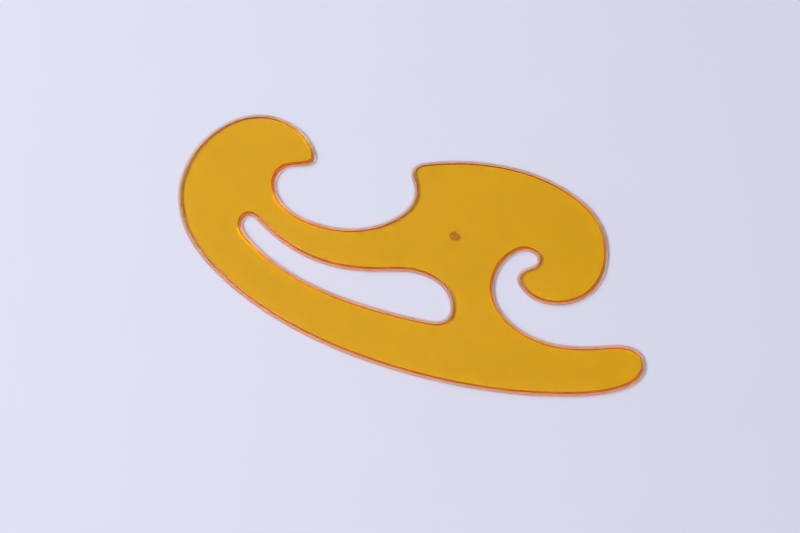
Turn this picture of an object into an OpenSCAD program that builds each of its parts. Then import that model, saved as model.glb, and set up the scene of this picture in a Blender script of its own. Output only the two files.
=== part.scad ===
// French curve: one flat plate of clear amber plastic.
//
// The plate is a single moulding. Its full-thickness body is edged all round,
// and round the slot, by a thinner inking lip that stands clear of the paper.
// Frame: millimetres, +X towards the tail, +Y towards the crest, +Z up.
// The origin is the middle of the underside's bounding box.

/* [Plate] */
// Overall length, from the head on the left to the tail on the right
plate_length = 210; // [120:5:400]
// Thickness of the body
plate_thickness = 2; // [1.2:0.1:3]
// Largest turn between two neighbouring points of an edge, in degrees
edge_step = 5; // [3:1:15]

/* [Inking lip] */
// How far the lip stands out from the body
lip_width = 1.5; // [0.6:0.1:2]
// Thickness of the lip
lip_thickness = 0.4; // [0.3:0.1:0.8]

/* [Gate mark] */
// Diameter of the round recess where the plastic entered the mould
gate_diameter = 4.2; // [2:0.2:8]
// Depth of the recess below the top face
gate_depth = 0.3; // [0.1:0.05:0.5]
// Diameter of the low nib of plastic left in the recess
nib_diameter = 2.6; // [0.8:0.1:3.2]

/* [Hidden] */

// Both edges are drawn at this length and then scaled to plate_length.
drawn_length = 210;
size_ratio = plate_length / drawn_length;

// Each knot of an edge is [x, y, heading]: the edge passes through (x, y) in
// the direction of heading, in degrees from +X. Both edges run
// anticlockwise, with the base of the plate along y = 0.
base_sweep = [
    [-105, 66, 270],
    [-97, 42.5, 305],
    [-80.5, 27, 326],
    [-43.5, 9.5, 342.5],
    [22, 0, 359.5],
    [71.5, 5, 12.5]
];
tail = [
    [95, 12.8, 28],
    [102.5, 18.6, 52],
    [105, 25.5, 92],
    [102, 31.8, 141],
    [96, 33.5, 181],
    [85, 30.8, 197.5]
];
right_bay = [
    [67.5, 27.5, 181],
    [48.5, 32, 151],
    [38.6, 42, 114],
    [37, 49.5, 91],
    [40.6, 61.1, 54],
    [47.8, 65.8, 1.5],
    [52.7, 62.3, 270]
];
right_hook = [
    [48.5, 57.6, 219],
    [46, 53, 271.5],
    [49.5, 47.6, 321.5],
    [60, 44, 0.5]
];
lobe_and_crest = [
    [73, 48.5, 37],
    [81.3, 66.5, 90],
    [76, 85, 124],
    [56, 99.1, 159.5],
    [31, 103.3, 180.5],
    [-3, 96.9, 201],
    [-7.6, 94, 232],
    [-8.5, 89.3, 286]
];
left_bay = [
    [-6.2, 84.7, 295],
    [-5, 79, 268.5],
    [-11.2, 67.1, 224],
    [-23, 59.7, 201],
    [-38.5, 57.2, 179],
    [-53, 59.8, 158.5],
    [-63.6, 68.9, 116],
    [-64.8, 74, 89],
    [-63.2, 78.7, 52]
];
left_hook_and_head = [
    [-55, 82.5, 21],
    [-51, 86.5, 84],
    [-52.2, 90.6, 121],
    [-64, 100.8, 156],
    [-74.5, 103.1, 180.5],
    [-91, 96.9, 219.5],
    [-104, 75, 258.5]
];
outer_knots = concat(
    base_sweep,
    tail,
    right_bay,
    right_hook,
    lobe_and_crest,
    left_bay,
    left_hook_and_head
);

// The teardrop slot: a narrow round end at the left, the long lower edge,
// the wide end at the right, and the waved upper edge back again.
slot_knots = [
    [-73.3, 50.2, 273],
    [-69, 44.3, 322],
    [-49, 33.4, 339.5],
    [4.5, 24.9, 359],
    [14.8, 25.1, 4.5],
    [20.5, 27, 45],
    [21.9, 32, 96],
    [19.5, 38, 126],
    [12.5, 43.2, 158.5],
    [4, 44.7, 179.5],
    [-8.6, 42.4, 194.5],
    [-29.5, 39.4, 179.5],
    [-52, 44, 158],
    [-67.5, 52.6, 146],
    [-71, 53.9, 190]
];

// Centre of the gate mark, on the body between the slot and the crest
gate_drawn = [16, 65];

// The lip lies halfway up the body, so that the plate rules either way up.
lip_bottom = (plate_thickness - lip_thickness) / 2;
// The nib stops short of the top face, so that the plate still lies flat.
nib_height = 0.85 * gate_depth;
nib_width = min(nib_diameter, 0.75 * gate_diameter);
// Cuts run past the faces that they open by this much.
overcut = 1;
round_fn = 64;

// Turn from one heading to another, from -180 to 180 degrees
function turn(from, to) = (to - from + 900) % 360 - 180;

function direction(heading) = [cos(heading), sin(heading)];

function place(knot) = [knot.x, knot.y];

function chord_heading(p, q) = atan2(q.y - p.y, q.x - p.x);

// How much a stretch between two knots bends in all, in degrees
function bend(p, q) =
    abs(turn(p[2], chord_heading(p, q))) + abs(turn(chord_heading(p, q), q[2]));

// Length of the Bezier handles that makes an even stretch a circular arc
function handle(p, q) =
    norm(place(q) - place(p)) / (3 * pow(cos(bend(p, q) / 4), 2));

// The four control points of the stretch between two knots
function controls(p, q) =
    let (h = handle(p, q))
    [
        place(p),
        place(p) + h * direction(p[2]),
        place(q) - h * direction(q[2]),
        place(q)
    ];

function bezier(c, t) =
    pow(1 - t, 3) * c[0]
    + 3 * t * pow(1 - t, 2) * c[1]
    + 3 * t * t * (1 - t) * c[2]
    + pow(t, 3) * c[3];

// Direction of the stretch at t, as a unit vector
function tangent(c, t) =
    let (
        v = pow(1 - t, 2) * (c[1] - c[0])
            + 2 * t * (1 - t) * (c[2] - c[1])
            + t * t * (c[3] - c[2])
    )
    v / norm(v);

// Number of straight steps that the stretch between two knots takes
function steps(p, q) = max(3, ceil(bend(p, q) / edge_step));

// Points of a closed edge, moved to its left, into what it encloses, by inset
function edge_points(knots, inset) = [
    for (i = [0 : len(knots) - 1])
        let (
            p = knots[i],
            q = knots[(i + 1) % len(knots)],
            c = controls(p, q),
            n = steps(p, q)
        )
        for (k = [0 : n - 1])
            let (
                t = k / n,
                v = tangent(c, t)
            )
            size_ratio * bezier(c, t) + inset * [-v.y, v.x]
];

// Middle of a list of points' bounding box
function box_middle(points) =
    let (
        xs = [for (p = points) p.x],
        ys = [for (p = points) p.y]
    )
    [min(xs) + max(xs), min(ys) + max(ys)] / 2;

plate_middle = box_middle(edge_points(outer_knots, 0));

// One level of the plate: its outer edge drawn in by setback, and the slot
// opened out by as much
module level(bottom, thickness, setback) {
    translate([-plate_middle.x, -plate_middle.y, bottom])
        difference() {
            linear_extrude(thickness)
                polygon(edge_points(outer_knots, setback));
            translate([0, 0, -overcut])
                linear_extrude(thickness + 2 * overcut)
                    polygon(edge_points(slot_knots, -setback));
        }
}

// Round recess of the gate mark, with the nib left standing in it
module gate_recess() {
    recess_floor = plate_thickness - gate_depth;
    difference() {
        translate([0, 0, recess_floor])
            cylinder(d = gate_diameter, h = gate_depth + overcut, $fn = round_fn);
        translate([0, 0, recess_floor - overcut])
            cylinder(d = nib_width, h = overcut + nib_height, $fn = round_fn);
    }
}

module curve_plate() {
    color([0.84, 0.6, 0.12, 0.75])
        difference() {
            union() {
                level(0, plate_thickness, lip_width);
                level(lip_bottom, lip_thickness, 0);
            }
            translate(size_ratio * gate_drawn - plate_middle)
                gate_recess();
        }
}

curve_plate();
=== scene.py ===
import math

import bmesh
import bpy
import numpy as np
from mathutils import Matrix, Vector
from mathutils.geometry import delaunay_2d_cdt


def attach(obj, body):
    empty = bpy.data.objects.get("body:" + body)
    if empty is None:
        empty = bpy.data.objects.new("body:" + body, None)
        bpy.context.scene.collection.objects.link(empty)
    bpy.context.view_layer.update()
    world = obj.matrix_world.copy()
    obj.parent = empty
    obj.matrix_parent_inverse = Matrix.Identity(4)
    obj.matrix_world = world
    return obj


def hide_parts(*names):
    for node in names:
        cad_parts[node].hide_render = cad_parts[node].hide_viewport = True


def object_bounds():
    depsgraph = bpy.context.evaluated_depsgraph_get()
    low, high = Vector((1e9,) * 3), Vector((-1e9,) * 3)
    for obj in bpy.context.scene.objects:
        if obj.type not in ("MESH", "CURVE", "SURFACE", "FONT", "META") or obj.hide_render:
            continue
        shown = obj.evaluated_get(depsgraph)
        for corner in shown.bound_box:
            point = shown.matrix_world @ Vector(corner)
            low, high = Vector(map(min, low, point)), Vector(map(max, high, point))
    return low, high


# A french curve: one clear amber plate with a thin lip along its edges. It is
# drawn again, finer and with rounded corners, from the edges of the CAD piece.
# Lengths are in metres.

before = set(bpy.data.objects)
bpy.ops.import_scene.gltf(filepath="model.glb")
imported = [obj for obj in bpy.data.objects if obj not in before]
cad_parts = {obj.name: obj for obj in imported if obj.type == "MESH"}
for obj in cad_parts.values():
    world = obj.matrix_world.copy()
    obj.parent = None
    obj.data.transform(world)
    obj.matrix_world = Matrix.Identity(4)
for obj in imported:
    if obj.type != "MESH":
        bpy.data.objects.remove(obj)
cad_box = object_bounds()

MM = 0.001
LEVEL_TOLERANCE = 0.01 * MM


# --------------------------------------------------------------- the frame

MERGE_DISTANCE = LEVEL_TOLERANCE / 10
FLAT_NORMAL = 0.9  # a face is flat where its normal's Z is over this, up or down
WALL_NORMAL = 0.1  # and a wall where it is under this


def signed_area(points):
    x, y = points.T
    return 0.5 * float(np.sum(x * np.roll(y, -1) - np.roll(x, -1) * y))


def corner_loops(mesh, level):
    """Closed loops of (x, y), largest first, where a flat face meets the wall below it."""
    work = bmesh.new()
    work.from_mesh(mesh)
    bmesh.ops.remove_doubles(work, verts=work.verts, dist=MERGE_DISTANCE)
    work.normal_update()

    def is_flat(face):
        return abs(face.normal.z) > FLAT_NORMAL

    def is_wall_below(face):
        return abs(face.normal.z) < WALL_NORMAL and face.calc_center_median().z <= level

    neighbours = {}
    for edge in work.edges:
        if any(abs(v.co.z - level) > LEVEL_TOLERANCE for v in edge.verts):
            continue
        flat = [f for f in edge.link_faces if is_flat(f)]
        wall = [f for f in edge.link_faces if is_wall_below(f)]
        if len(flat) == 1 and len(wall) == 1:
            a, b = edge.verts
            neighbours.setdefault(a, []).append(b)
            neighbours.setdefault(b, []).append(a)
    loops = []
    while neighbours:
        here = next(iter(neighbours))
        loop = []
        while here is not None:
            loop.append((here.co.x, here.co.y))
            following = [v for v in neighbours.pop(here) if v in neighbours]
            here = following[0] if following else None
        loops.append(np.array(loop))
    work.free()
    return sorted(loops, key=lambda p: -abs(signed_area(p)))


def lowest_overhang(mesh):
    """Height, to the micrometre, of the lowest face that looks down above the underside."""
    heights = [p.center.z for p in mesh.polygons if p.normal.z < -FLAT_NORMAL]
    return round(min(z for z in heights if z > Z_BOTTOM + LEVEL_TOLERANCE), 6)


CAD_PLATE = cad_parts["curve_plate"].data
Z_BOTTOM = cad_box[0].z
Z_TOP = cad_box[1].z
LIP_BOTTOM = lowest_overhang(CAD_PLATE)
LIP_TOP = Z_BOTTOM + Z_TOP - LIP_BOTTOM
lip_loop, slot_loop = corner_loops(CAD_PLATE, LIP_TOP)
body_loop, _, gate_loop = corner_loops(CAD_PLATE, Z_TOP)
LIP_WIDTH = float(body_loop[:, 0].min() - lip_loop[:, 0].min())
GATE = gate_loop.mean(axis=0)
GATE_RADIUS = float(np.hypot(*(gate_loop - GATE).T).mean())


# ------------------------------------------------------------ smooth edges

LONGEST_STEP = 1.0 * MM  # between neighbouring points of an edge
LARGEST_TURN = math.radians(4)  # aimed at from one step to the next
SAMPLES = 20000  # places along an edge where its bending is measured
BLUR = 50  # samples on each side that a bend is averaged with


def periodic_spline(points):
    """Chord lengths and second derivatives of the smooth closed curve through points."""
    step = np.hypot(*(np.roll(points, -1, axis=0) - points).T)
    count = len(points)
    system = np.zeros((count, count))
    right = np.zeros((count, 2))
    for i in range(count):
        before, after = step[i - 1], step[i]
        system[i, i - 1] += before
        system[i, i] += 2 * (before + after)
        system[i, (i + 1) % count] += after
        ahead = (points[(i + 1) % count] - points[i]) / after
        behind = (points[i] - points[i - 1]) / before
        right[i] = 6 * (ahead - behind)
    return step, np.linalg.solve(system, right)


def on_spline(points, step, second, at):
    """Points and unit tangents of the closed curve; at is the distance along its chords."""
    ends = np.cumsum(step)
    starts = ends - step
    i = np.minimum(np.searchsorted(ends, at, side="right"), len(points) - 1)
    j = (i + 1) % len(points)
    h = step[i][:, None]
    u = (at - starts[i])[:, None]
    v = h - u
    place = (
        second[i] * v**3 / (6 * h)
        + second[j] * u**3 / (6 * h)
        + (points[i] / h - second[i] * h / 6) * v
        + (points[j] / h - second[j] * h / 6) * u
    )
    slope = (
        -second[i] * v**2 / (2 * h)
        + second[j] * u**2 / (2 * h)
        + (points[j] - points[i]) / h
        - (second[j] - second[i]) * h / 6
    )
    return place, slope / np.hypot(*slope.T)[:, None]


def smooth_edge(loop, anticlockwise):
    """Points of an edge, closer together in its bends, and the directions out of the plastic.

    The edge has to run so that the plastic is on its left.
    """
    if (signed_area(loop) > 0) != anticlockwise:
        loop = loop[::-1]
    step, second = periodic_spline(loop)
    fine = np.linspace(0, step.sum(), SAMPLES)
    _, tangent = on_spline(loop, step, second, fine)
    heading = np.unwrap(np.arctan2(tangent[:, 1], tangent[:, 0]))
    turning = np.abs(np.gradient(heading, fine))
    density = np.maximum(1 / LONGEST_STEP, turning / LARGEST_TURN)
    wrapped = np.r_[density[-BLUR:], density, density[:BLUR]]
    window = 2 * BLUR + 1
    density = np.convolve(wrapped, np.ones(window) / window, "valid")
    share = np.r_[0, np.cumsum((density[1:] + density[:-1]) / 2 * np.diff(fine))]
    count = math.ceil(share[-1])
    at = np.interp(np.arange(count) * share[-1] / count, share, fine)
    place, tangent = on_spline(loop, step, second, at)
    return place, np.stack([tangent[:, 1], -tangent[:, 0]], axis=1)


# --------------------------------------------------------------- the plate

EDGE_ROUND = 0.4 * MM  # rounding of the body's upper and lower edges
LIP_ROUND = 0.19 * MM  # rounding of the lip's outer edges
ROOT_ROUND = 0.3 * MM  # fillet where the lip meets the body
ROUND_STEPS = 4  # in a quarter circle
GRID_STEP = 4 * MM  # between points inside the flat faces

# The gate mark is a round recess with a nib, a low bump, in its middle.
GATE_DEPTH = 0.3 * MM
NIB_RADIUS = 1.3 * MM
NIB_HEIGHT = 0.255 * MM
GATE_SIDES = 72
# The recess's sloping wall, as (inset from its rim, depth)
GATE_WALL = (
    (0.1 * MM, 0.05 * MM),
    (0.25 * MM, 0.18 * MM),
    (0.4 * MM, 0.27 * MM),
    (0.55 * MM, GATE_DEPTH),
)
# Rings of the nib's rounded top, as shares of its radius
NIB_RINGS = (1, 0.92, 0.84, 0.75, 0.65, 0.5, 0.3)
NIB_FLATNESS = 4  # 2 is a parabola, and more makes a flatter top with steeper sides

INSIDE_BORDER = 1  # makes delaunay_2d_cdt keep only the triangles inside the border
SAME_POINT = 1e-9  # it merges points that are closer than this


def quarter(centre, radius, start):
    """A quarter circle of (out, z) points, anticlockwise from start degrees."""
    angles = [math.radians(start + 90 * k / ROUND_STEPS) for k in range(ROUND_STEPS + 1)]
    return [
        (centre[0] + radius * math.cos(a), centre[1] + radius * math.sin(a)) for a in angles
    ]


def rim_profile():
    """The rim's cross-section from the top face round to the underside, as (out, z).

    out is measured from the lip's outer edge, so the body's wall is at -LIP_WIDTH.
    """
    wall = -LIP_WIDTH
    upper = quarter((wall - EDGE_ROUND, Z_TOP - EDGE_ROUND), EDGE_ROUND, 0)[::-1]
    root = quarter((wall + ROOT_ROUND, LIP_TOP + ROOT_ROUND), ROOT_ROUND, 180)
    lip = quarter((-LIP_ROUND, LIP_TOP - LIP_ROUND), LIP_ROUND, 0)[::-1]
    half = upper + root + lip
    return half + [(out, Z_BOTTOM + Z_TOP - z) for out, z in reversed(half)]


def gate_profile():
    """The gate mark from inside its rim to near its middle, as (radius, z)."""
    wall = [(GATE_RADIUS - inset, Z_TOP - depth) for inset, depth in GATE_WALL]
    nib = [
        (NIB_RADIUS * share, Z_TOP - GATE_DEPTH + NIB_HEIGHT * (1 - share**NIB_FLATNESS))
        for share in NIB_RINGS
    ]
    return wall + nib


def bridge(bm, upper, lower):
    """Closes the band between two rings of as many vertices."""
    n = len(upper)
    for k in range(n):
        m = (k + 1) % n
        bm.faces.new((upper[k], lower[k], lower[m], upper[m]))


def build_rim(bm, edge):
    """The walls and the lip along an edge. Returns the rings at the top and at the underside."""
    place, outward = edge
    rings = [
        [bm.verts.new((x, y, z)) for x, y in place + out * outward] for out, z in rim_profile()
    ]
    for upper, lower in zip(rings, rings[1:]):
        bridge(bm, upper, lower)
    return rings[0], rings[-1]


def gate_ring(bm, radius, z):
    """Vertices of a circle round the middle of the gate mark."""
    angles = np.arange(GATE_SIDES) * 2 * math.pi / GATE_SIDES
    return [
        bm.verts.new((GATE[0] + radius * math.cos(a), GATE[1] + radius * math.sin(a), z))
        for a in angles
    ]


def build_gate(bm):
    """The gate mark. Returns the ring of its rim."""
    rim = gate_ring(bm, GATE_RADIUS, Z_TOP)
    outer = rim
    for radius, z in gate_profile():
        ring = gate_ring(bm, radius, z)
        bridge(bm, ring, outer)
        outer = ring
    middle = bm.verts.new((GATE[0], GATE[1], Z_TOP - GATE_DEPTH + NIB_HEIGHT))
    for k in range(GATE_SIDES):
        bm.faces.new((middle, outer[k], outer[(k + 1) % GATE_SIDES]))
    return rim


def inside(points, loop):
    """Which of the points lie inside a closed loop."""
    x, y = points[:, 0][:, None], points[:, 1][:, None]
    ax, ay = loop.T
    bx, by = np.roll(loop, -1, axis=0).T
    crosses = (ay > y) != (by > y)
    at = ax + (y - ay) * (bx - ax) / np.where(by == ay, 1, by - ay)
    return (crosses & (x < at)).sum(axis=1) % 2 == 1


def grid_points(loops):
    """A triangular grid that keeps clear of closed loops: the border, then the holes."""
    border = np.vstack(loops)
    low, high = border.min(axis=0), border.max(axis=0)
    rows = np.arange(low[1], high[1], GRID_STEP * math.sqrt(3) / 2)
    grid = np.array([
        (x + (k % 2) * GRID_STEP / 2, y)
        for k, y in enumerate(rows)
        for x in np.arange(low[0], high[0], GRID_STEP)
    ])
    keep = inside(grid, loops[0])
    for hole in loops[1:]:
        keep &= ~inside(grid, hole)
    grid = grid[keep]
    across = grid[:, 0][:, None] - border[:, 0]
    along = grid[:, 1][:, None] - border[:, 1]
    return grid[np.hypot(across, along).min(axis=1) > GRID_STEP / 2]


def cap(bm, rings, z, up):
    """Fills a flat face between closed rings of vertices: the border, then the holes."""
    flat = [v for ring in rings for v in ring]
    edges, start = [], 0
    for ring in rings:
        n = len(ring)
        edges += [(start + k, start + (k + 1) % n) for k in range(n)]
        start += n
    loops = [np.array([v.co[:2] for v in ring]) for ring in rings]
    points = [Vector(p) for p in np.vstack(loops + [grid_points(loops)])]
    coords, _, faces, origins, _, _ = delaunay_2d_cdt(
        points, edges, [], INSIDE_BORDER, SAME_POINT
    )
    verts = []
    for xy, origin in zip(coords, origins):
        known = [k for k in origin if k < len(flat)]
        verts.append(flat[known[0]] if known else bm.verts.new((xy.x, xy.y, z)))
    centres = np.array([np.mean([coords[k] for k in f], axis=0) for f in faces])
    in_hole = np.zeros(len(faces), bool)
    for hole in loops[1:]:
        in_hole |= inside(centres, hole)
    for f, skip in zip(faces, in_hole):
        if not skip:
            bm.faces.new([verts[k] for k in (f if up else f[::-1])])
    for v in [v for v in verts if not v.link_faces]:
        bm.verts.remove(v)


def build_plate():
    bm = bmesh.new()
    rims = [
        build_rim(bm, smooth_edge(lip_loop, anticlockwise=True)),
        build_rim(bm, smooth_edge(slot_loop, anticlockwise=False)),
    ]
    tops, bottoms = [list(rings) for rings in zip(*rims)]
    cap(bm, tops + [build_gate(bm)], Z_TOP, up=True)
    cap(bm, bottoms, Z_BOTTOM, up=False)
    bmesh.ops.recalc_face_normals(bm, faces=bm.faces)
    for face in bm.faces:
        face.smooth = True
    mesh = bpy.data.meshes.new("clear_plate")
    bm.to_mesh(mesh)
    bm.free()
    plate = bpy.data.objects.new("clear_plate", mesh)
    bpy.context.scene.collection.objects.link(plate)
    return plate


# ------------------------------------------------------------ shader nodes
# Each helper adds a node to a tree and returns the output that matters.


def math_node(tree, operation, *inputs):
    """One step of arithmetic; each input is a number or another node's output."""
    node = tree.nodes.new("ShaderNodeMath")
    node.operation = operation
    for socket, value in zip(node.inputs, inputs):
        if isinstance(value, (int, float)):
            socket.default_value = value
        else:
            tree.links.new(value, socket)
    return node.outputs[0]


def span_node(tree, share, least, most):
    """The value from least to most that a share from 0 to 1 stands for."""
    return math_node(tree, "MULTIPLY_ADD", share, most - least, least)


def fade_node(tree, value, start_end, limits):
    """Maps a value from one range to another, held at the limits outside it."""
    fade = tree.nodes.new("ShaderNodeMapRange")
    for name, number in zip(("From Min", "From Max", "To Min", "To Max"), start_end + limits):
        fade.inputs[name].default_value = number
    tree.links.new(value, fade.inputs["Value"])
    return fade.outputs["Result"]


def vector_node(tree, operation, vector, other):
    """The distance from a fixed point, or the dot product with a fixed direction."""
    node = tree.nodes.new("ShaderNodeVectorMath")
    node.operation = operation
    node.inputs[1].default_value = other
    tree.links.new(vector, node.inputs[0])
    return node.outputs["Value"]


def z_node(tree, vector):
    split = tree.nodes.new("ShaderNodeSeparateXYZ")
    tree.links.new(vector, split.inputs[0])
    return split.outputs["Z"]


def noise_node(tree, place, scale, detail):
    noise = tree.nodes.new("ShaderNodeTexNoise")
    noise.inputs["Scale"].default_value = scale
    noise.inputs["Detail"].default_value = detail
    tree.links.new(place, noise.inputs["Vector"])
    return noise.outputs["Fac"]


def bump_node(tree, height, strength, distance):
    bump = tree.nodes.new("ShaderNodeBump")
    bump.inputs["Strength"].default_value = strength
    bump.inputs["Distance"].default_value = distance
    tree.links.new(height, bump.inputs["Height"])
    return bump.outputs["Normal"]


def mix_node(tree, factor, first, second):
    """Mixes two colours; each is a colour or another node's output."""
    mix = tree.nodes.new("ShaderNodeMix")
    mix.data_type = "RGBA"
    tree.links.new(factor, mix.inputs["Factor"])
    for socket, value in zip([s for s in mix.inputs if s.type == "RGBA"], (first, second)):
        if isinstance(value, tuple):
            socket.default_value = value
        else:
            tree.links.new(value, socket)
    return [s for s in mix.outputs if s.type == "RGBA"][0]


# --------------------------------------------------------------- materials

NO_TINT = (1, 1, 1, 1)
# The lip's tint is painted shade: it makes the thin lip look redder, as the light and shade seen
# through it do.
LIP_PAINTED_SHADE = (1.0, 0.85, 0.86, 1)
LIP_MARGIN = 0.02 * MM  # that its tint reaches past the lip's two faces
# The edge's tint is painted shade: it turns the walls the deep red that light trapped in the
# sheet gives them.
EDGE_PAINTED_SHADE = (0.97, 0.08, 0.01, 1)
EDGE_SLOPES = (0.4, 0.96)  # the normal's |Z| where the edge's tint starts and stops fading

GATE_PAINTED_SHADE = (0.72, 0.46, 0.12, 1)
# The gate mark's tint is painted shade in its recess. It fades with the distance from a
# point over its middle, so that it never gets to the underside.
GATE_SHADE_FROM = (GATE[0], GATE[1], Z_TOP + 1 * MM)
GATE_SHADE_REACH = (2.1 * MM, 2.4 * MM)
# One spot in the gate mark stays clear of that shade: a painted glint on its left.
GATE_PAINTED_GLINT = (GATE[0] - 1.05 * MM, GATE[1] - 0.3 * MM, Z_TOP)
GATE_GLINT_REACH = (0.3 * MM, 0.6 * MM)

# The glow is painted light, faint on the faces and stronger on the walls. It stands for light
# that is trapped in the sheet and scatters out.
PAINTED_GLOW_COLOUR = (1, 0.05, 0, 1)
PAINTED_EDGE_GLOW = 0.06
PAINTED_FACE_GLOW = 0.014

PLASTIC_IOR = 1.5
# The dye's absorption of each colour per metre is DYE_DENSITY * (1 - DYE).
DYE = (0.983, 0.863, 0.0, 1)
DYE_DENSITY = 1150
PLASTIC_ROUGHNESS = (0.005, 0.035)
HANDLING_SCALE = 90  # of the noise that varies the roughness
GRAIN_SCALE = 2500  # of the noise that makes the surface slightly uneven
GRAIN_STRENGTH = 0.05
GRAIN_HEIGHT = 0.1 * MM

PAPER_TONES = ((0.775, 0.80, 0.96, 1), (0.795, 0.82, 0.98, 1))
PAPER_ROUGHNESS = (0.8, 1.0)
PAPER_SPECULAR = 0.1
CLOUD_SCALE = 25  # of the noise that varies the tone
FIBRE_SCALE = 3000  # of the noise that varies the roughness and the height
FIBRE_STRENGTH = 0.1
FIBRE_HEIGHT = 0.05 * MM


def new_material(name):
    material = bpy.data.materials.new(name)
    material.use_nodes = True
    tree = material.node_tree
    return material, tree, tree.nodes["Principled BSDF"]


def gate_shade_share(tree, place):
    """1 in the gate mark's painted shade, 0 outside it and on its painted glint."""
    away = vector_node(tree, "DISTANCE", place, GATE_SHADE_FROM)
    at_gate = fade_node(tree, away, GATE_SHADE_REACH, (1, 0))
    off_glint = fade_node(tree, vector_node(tree, "DISTANCE", place, GATE_PAINTED_GLINT), GATE_GLINT_REACH, (0, 1))
    return math_node(tree, "MULTIPLY", at_gate, off_glint)


def painted_plate_shade(tree, place, painted_edge_share):
    """Painted shade on the light that crosses the surface: at the lip, the walls and the gate
    mark.
    """
    middle = (LIP_TOP + LIP_BOTTOM) / 2
    reach = (LIP_TOP - LIP_BOTTOM) / 2 + LIP_MARGIN
    at_lip = math_node(tree, "COMPARE", z_node(tree, place), middle, reach)
    tint = mix_node(tree, at_lip, NO_TINT, LIP_PAINTED_SHADE)
    tint = mix_node(tree, painted_edge_share, tint, EDGE_PAINTED_SHADE)
    return mix_node(tree, gate_shade_share(tree, place), tint, GATE_PAINTED_SHADE)


def amber_plastic():
    """Clear plastic with an orange dye.

    Light that is trapped in the sheet leaves it deep orange-red at the edges. The dye alone
    leaves them too brown, so painted shade, a painted glint and a painted glow help it.
    """
    material, tree, shader = new_material("amber_plastic")
    shader.inputs["IOR"].default_value = PLASTIC_IOR
    shader.inputs["Transmission Weight"].default_value = 1
    where = tree.nodes.new("ShaderNodeTexCoord")
    place = where.outputs["Object"]
    upright = math_node(tree, "ABSOLUTE", z_node(tree, where.outputs["Normal"]))
    # Painted shade and a stronger painted glow on the walls, by how steep the surface is.
    painted_edge_share = fade_node(tree, upright, EDGE_SLOPES, (1, 0))
    tree.links.new(painted_plate_shade(tree, place, painted_edge_share), shader.inputs["Base Color"])
    glow = span_node(tree, painted_edge_share, PAINTED_FACE_GLOW, PAINTED_EDGE_GLOW)
    tree.links.new(glow, shader.inputs["Emission Strength"])
    shader.inputs["Emission Color"].default_value = PAINTED_GLOW_COLOUR
    handling = noise_node(tree, place, HANDLING_SCALE, detail=3)
    roughness = span_node(tree, handling, *PLASTIC_ROUGHNESS)
    tree.links.new(roughness, shader.inputs["Roughness"])
    grain = noise_node(tree, place, GRAIN_SCALE, detail=2)
    normal = bump_node(tree, grain, GRAIN_STRENGTH, GRAIN_HEIGHT)
    tree.links.new(normal, shader.inputs["Normal"])
    absorb = tree.nodes.new("ShaderNodeVolumeAbsorption")
    absorb.inputs["Color"].default_value = DYE
    absorb.inputs["Density"].default_value = DYE_DENSITY
    tree.links.new(absorb.outputs["Volume"], tree.nodes["Material Output"].inputs["Volume"])
    return material


def paper():
    material, tree, shader = new_material("paper")
    shader.inputs["Specular IOR Level"].default_value = PAPER_SPECULAR
    place = tree.nodes.new("ShaderNodeTexCoord").outputs["Object"]
    cloud = noise_node(tree, place, CLOUD_SCALE, detail=3)
    tree.links.new(mix_node(tree, cloud, *PAPER_TONES), shader.inputs["Base Color"])
    fibres = noise_node(tree, place, FIBRE_SCALE, detail=3)
    tree.links.new(span_node(tree, fibres, *PAPER_ROUGHNESS), shader.inputs["Roughness"])
    normal = bump_node(tree, fibres, FIBRE_STRENGTH, FIBRE_HEIGHT)
    tree.links.new(normal, shader.inputs["Normal"])
    return material


plate = build_plate()
plate.data.materials.append(amber_plastic())
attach(plate, "root")
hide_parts("curve_plate")


# ------------------------------------------------------------------- scene
# Azimuths turn anticlockwise, seen from above, from the front. KEY_AZIMUTH
# starts from the camera's.

FLOOR_SIZE = 4
FLOOR_GAP = 0.08 * MM  # of air, which keeps the plastic and the paper apart

CAMERA_AZIMUTH = 13.75
CAMERA_ELEVATION = 66.0
CAMERA_DISTANCE = 654.4 * MM
CAMERA_TARGET = Vector((-2.9, -5.57, 1)) * MM
LENS = 70  # in mm, like the sensor's width
SENSOR = 36

KEY_AZIMUTH = -90
KEY_ELEVATION = 52
KEY_DISTANCE = 2.6
KEY_SIZE = (1.9, 1.5)
KEY_POWER = 61  # in watts
KEY_COLOUR = (1, 0.955, 0.95)

SKY_COLOUR = (0.76, 0.8, 0.82, 1)
SKY_STRENGTHS = (0.6, 0.1)  # on the left and on the right
SKY_FADE = (-0.3, 0.3)  # between them, where -1 is the far left and 1 the far right

BOUNCES = 96  # light that is trapped in the sheet needs many


def direction(azimuth, elevation):
    """Unit vector from the origin towards an azimuth and elevation in degrees."""
    a, e = math.radians(azimuth), math.radians(elevation)
    return Vector((math.sin(a) * math.cos(e), -math.cos(a) * math.cos(e), math.sin(e)))


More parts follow.
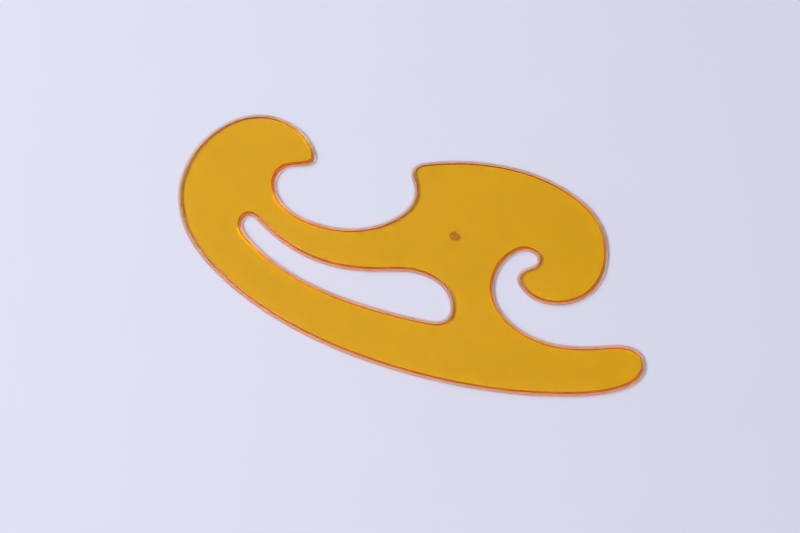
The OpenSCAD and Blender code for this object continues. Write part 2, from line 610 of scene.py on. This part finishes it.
def aim(thing, target):
    """Turns a camera or lamp to face a point."""
    thing.rotation_mode = "QUATERNION"
    thing.rotation_quaternion = (Vector(target) - thing.location).to_track_quat("-Z", "Y")


def make_floor():
    bpy.ops.mesh.primitive_plane_add(size=FLOOR_SIZE, location=(0, 0, Z_BOTTOM - FLOOR_GAP))
    floor = bpy.context.object
    floor.name = "floor"
    floor.data.materials.append(paper())


def make_camera():
    data = bpy.data.cameras.new("camera")
    data.lens = LENS
    data.sensor_width = SENSOR
    camera = bpy.data.objects.new("camera", data)
    camera.location = (
        CAMERA_TARGET + CAMERA_DISTANCE * direction(CAMERA_AZIMUTH, CAMERA_ELEVATION)
    )
    aim(camera, CAMERA_TARGET)
    bpy.context.scene.collection.objects.link(camera)
    bpy.context.scene.camera = camera


def make_key():
    """One large soft lamp on the left."""
    data = bpy.data.lights.new("key", "AREA")
    data.shape = "RECTANGLE"
    data.size, data.size_y = KEY_SIZE
    data.energy = KEY_POWER
    data.color = KEY_COLOUR
    light = bpy.data.objects.new("key", data)
    light.location = KEY_DISTANCE * direction(CAMERA_AZIMUTH + KEY_AZIMUTH, KEY_ELEVATION)
    aim(light, (0, 0, 0))
    bpy.context.scene.collection.objects.link(light)


def make_sky():
    """A soft sky, brighter on the left."""
    world = bpy.data.worlds.new("studio")
    world.use_nodes = True
    tree = world.node_tree
    sky = tree.nodes["Background"]
    sky.inputs["Color"].default_value = SKY_COLOUR
    where = tree.nodes.new("ShaderNodeTexCoord")
    right = direction(CAMERA_AZIMUTH + 90, 0)
    across = vector_node(tree, "DOT_PRODUCT", where.outputs["Generated"], right)
    strength = fade_node(tree, across, SKY_FADE, SKY_STRENGTHS)
    tree.links.new(strength, sky.inputs["Strength"])
    bpy.context.scene.world = world


def set_tracing():
    scene = bpy.context.scene
    scene.view_settings.view_transform = "Standard"
    scene.cycles.blur_glossy = 0
    scene.cycles.max_bounces = BOUNCES
    scene.cycles.glossy_bounces = BOUNCES
    scene.cycles.transmission_bounces = BOUNCES


make_floor()
make_camera()
make_key()
make_sky()
set_tracing()
